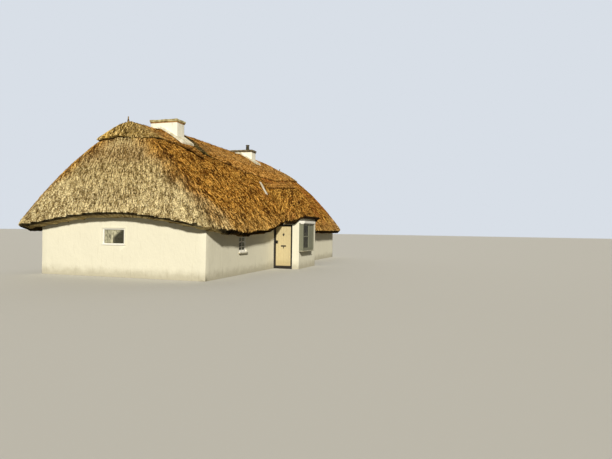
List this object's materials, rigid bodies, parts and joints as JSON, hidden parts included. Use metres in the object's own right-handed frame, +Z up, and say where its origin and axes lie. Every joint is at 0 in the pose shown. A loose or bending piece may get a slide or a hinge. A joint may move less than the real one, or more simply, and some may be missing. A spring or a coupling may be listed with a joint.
{
  "type": "thatched cottage",
  "caption": "Single-storey cottage with limewashed walls, a hipped thatched roof with ridge cap and chimneys, and a thatched porch with a hinged front door.",
  "frame": {"origin": "on the ground under the middle of the house, on the underside of its floor", "axes": "+Y along the house, away from the end wall that the picture shows in full; +X out of the front wall, which has the porch; +Z up"},
  "size_m": [9.82, 19.12, 6.6003],
  "materials": {
    "limewash": "matt cream limewash over rough render",
    "chimney_render": "weathered white render",
    "chimney_slab": "weathered stone slab",
    "cement": "floated cement",
    "cement_fillet": "rough trowelled cement",
    "clay_pot": "sooty clay",
    "front_thatch": "rough straw thatch, golden brown, laid straw",
    "back_thatch": "rough straw thatch, weathered",
    "hip_thatch": "rough straw thatch, greyed",
    "porch_thatch": "rough straw thatch",
    "ridge_sedge": "bent sedge with rods and moss",
    "black_paint": "black gloss painted timber",
    "cream_paint": "cream painted timber, satin",
    "white_paint": "white painted timber, satin",
    "grey_paint": "grey-green painted timber, satin",
    "black_iron": "black iron, satin",
    "window_glass": "clear glass"
  },
  "bodies": {
    "house": {"floor_slab": "cement", "porch_floor": "cement", "near_end_wall": "limewash", "far_end_wall": "limewash", "back_wall": "limewash", "front_wall_near": "limewash", "front_wall_far": "limewash", "front_wall_over_doorway": "limewash", "porch_wall_beside_door": "limewash", "porch_wall_over_door": "limewash", "porch_far_wall": "limewash", "porch_front_wall": "limewash", "near_end_window_surround": "limewash", "near_chimney_stack": "chimney_render", "far_chimney_stack": "chimney_render", "near_chimney_cap": "chimney_slab", "far_chimney_cap": "chimney_slab", "near_chimney_fillet": "cement_fillet", "far_chimney_fillet": "cement_fillet", "far_chimney_pot": "clay_pot", "front_thatch": "front_thatch", "back_thatch": "back_thatch", "near_hip_thatch": "hip_thatch", "far_hip_thatch": "hip_thatch", "porch_thatch_near": "porch_thatch", "porch_thatch_far": "porch_thatch", "ridge_cap": "ridge_sedge", "porch_ridge_cap": "ridge_sedge", "near_finial": "ridge_sedge", "far_finial": "ridge_sedge", "door_frame": "black_paint", "bay_window_frame": "grey_paint", "bay_window_cornice": "grey_paint", "bay_window_glass": "window_glass", "near_end_window_frame": "white_paint", "near_end_window_glass": "window_glass", "far_end_window_frame": "white_paint", "far_end_window_glass": "window_glass", "front_sash_near_frame": "white_paint", "front_sash_near_glass": "window_glass", "front_sash_far_frame": "white_paint", "front_sash_far_glass": "window_glass", "back_window_near_frame": "white_paint", "back_window_near_glass": "window_glass", "back_window_far_frame": "white_paint", "back_window_far_glass": "window_glass"},
    "front_door": {"door_leaf": "cream_paint", "door_knob": "black_iron", "door_knocker": "black_iron", "door_letterplate": "black_iron"}
  },
  "joints": [
    {"name": "front_door_hinge", "type": "hinge", "parent": "house", "child": "front_door", "pos_m": [4.368, -2.267, 1], "axis": [0, 0, -1], "range_deg": [0, 90]}
  ]
}
